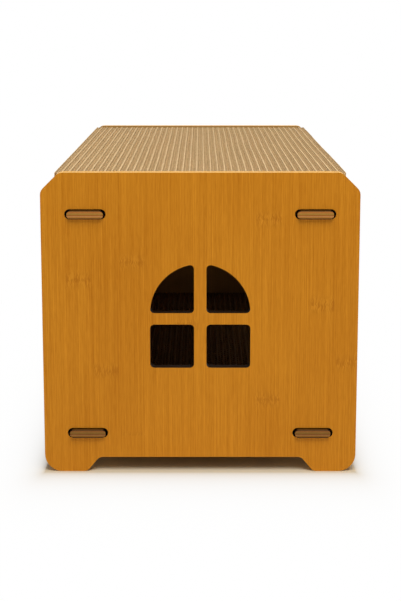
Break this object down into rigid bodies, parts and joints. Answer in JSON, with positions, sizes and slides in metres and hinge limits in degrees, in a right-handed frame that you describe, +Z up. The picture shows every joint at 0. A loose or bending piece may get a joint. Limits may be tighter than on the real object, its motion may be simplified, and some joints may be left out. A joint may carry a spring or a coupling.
{
  "type": "cat house",
  "caption": "Flat-pack bamboo cat house on feet, with an arched paned window in each end, an arched doorway, and corrugated scratching pads as floor and lift-off roof.",
  "frame": {"origin": "on the floor under the middle of the house", "axes": "+Z up, +Y along the house from the front end panel to the rear one, +X towards the wall with the doorway"},
  "size_m": [0.35, 0.506, 0.341],
  "materials": {
    "bamboo_face": "satin",
    "bamboo_board": "satin",
    "corrugated_cardboard": "matte"
  },
  "bodies": {
    "house": {"front_panel": "bamboo_face", "rear_panel": "bamboo_face", "lower_board": "bamboo_board", "upper_board": "bamboo_board", "door_wall": "bamboo_board", "closed_wall": "bamboo_board", "floor_pad": "corrugated_cardboard"},
    "roof_pad": {"roof_strip_01": "corrugated_cardboard", "roof_strip_02": "corrugated_cardboard", "roof_strip_03": "corrugated_cardboard", "roof_strip_04": "corrugated_cardboard", "roof_strip_05": "corrugated_cardboard", "roof_strip_06": "corrugated_cardboard", "roof_strip_07": "corrugated_cardboard", "roof_strip_08": "corrugated_cardboard", "roof_strip_09": "corrugated_cardboard", "roof_strip_10": "corrugated_cardboard", "roof_strip_11": "corrugated_cardboard", "roof_strip_12": "corrugated_cardboard", "roof_strip_13": "corrugated_cardboard", "roof_strip_14": "corrugated_cardboard", "roof_strip_15": "corrugated_cardboard", "roof_strip_16": "corrugated_cardboard", "roof_strip_17": "corrugated_cardboard", "roof_strip_18": "corrugated_cardboard", "roof_strip_19": "corrugated_cardboard", "roof_strip_20": "corrugated_cardboard", "roof_strip_21": "corrugated_cardboard", "roof_strip_22": "corrugated_cardboard", "roof_strip_23": "corrugated_cardboard", "roof_strip_24": "corrugated_cardboard", "roof_strip_25": "corrugated_cardboard", "roof_strip_26": "corrugated_cardboard", "roof_strip_27": "corrugated_cardboard", "roof_strip_28": "corrugated_cardboard", "roof_strip_29": "corrugated_cardboard", "roof_strip_30": "corrugated_cardboard", "roof_strip_31": "corrugated_cardboard", "roof_strip_32": "corrugated_cardboard", "roof_strip_33": "corrugated_cardboard", "roof_strip_34": "corrugated_cardboard", "roof_strip_35": "corrugated_cardboard", "roof_strip_36": "corrugated_cardboard", "roof_strip_37": "corrugated_cardboard", "roof_strip_38": "corrugated_cardboard", "roof_strip_39": "corrugated_cardboard", "roof_strip_40": "corrugated_cardboard", "roof_strip_41": "corrugated_cardboard"}
  },
  "joints": [
    {"name": "roof_pad_lift", "type": "slide", "parent": "house", "child": "roof_pad", "axis": [0, 0, 1], "range_m": [0, 0.08]}
  ]
}
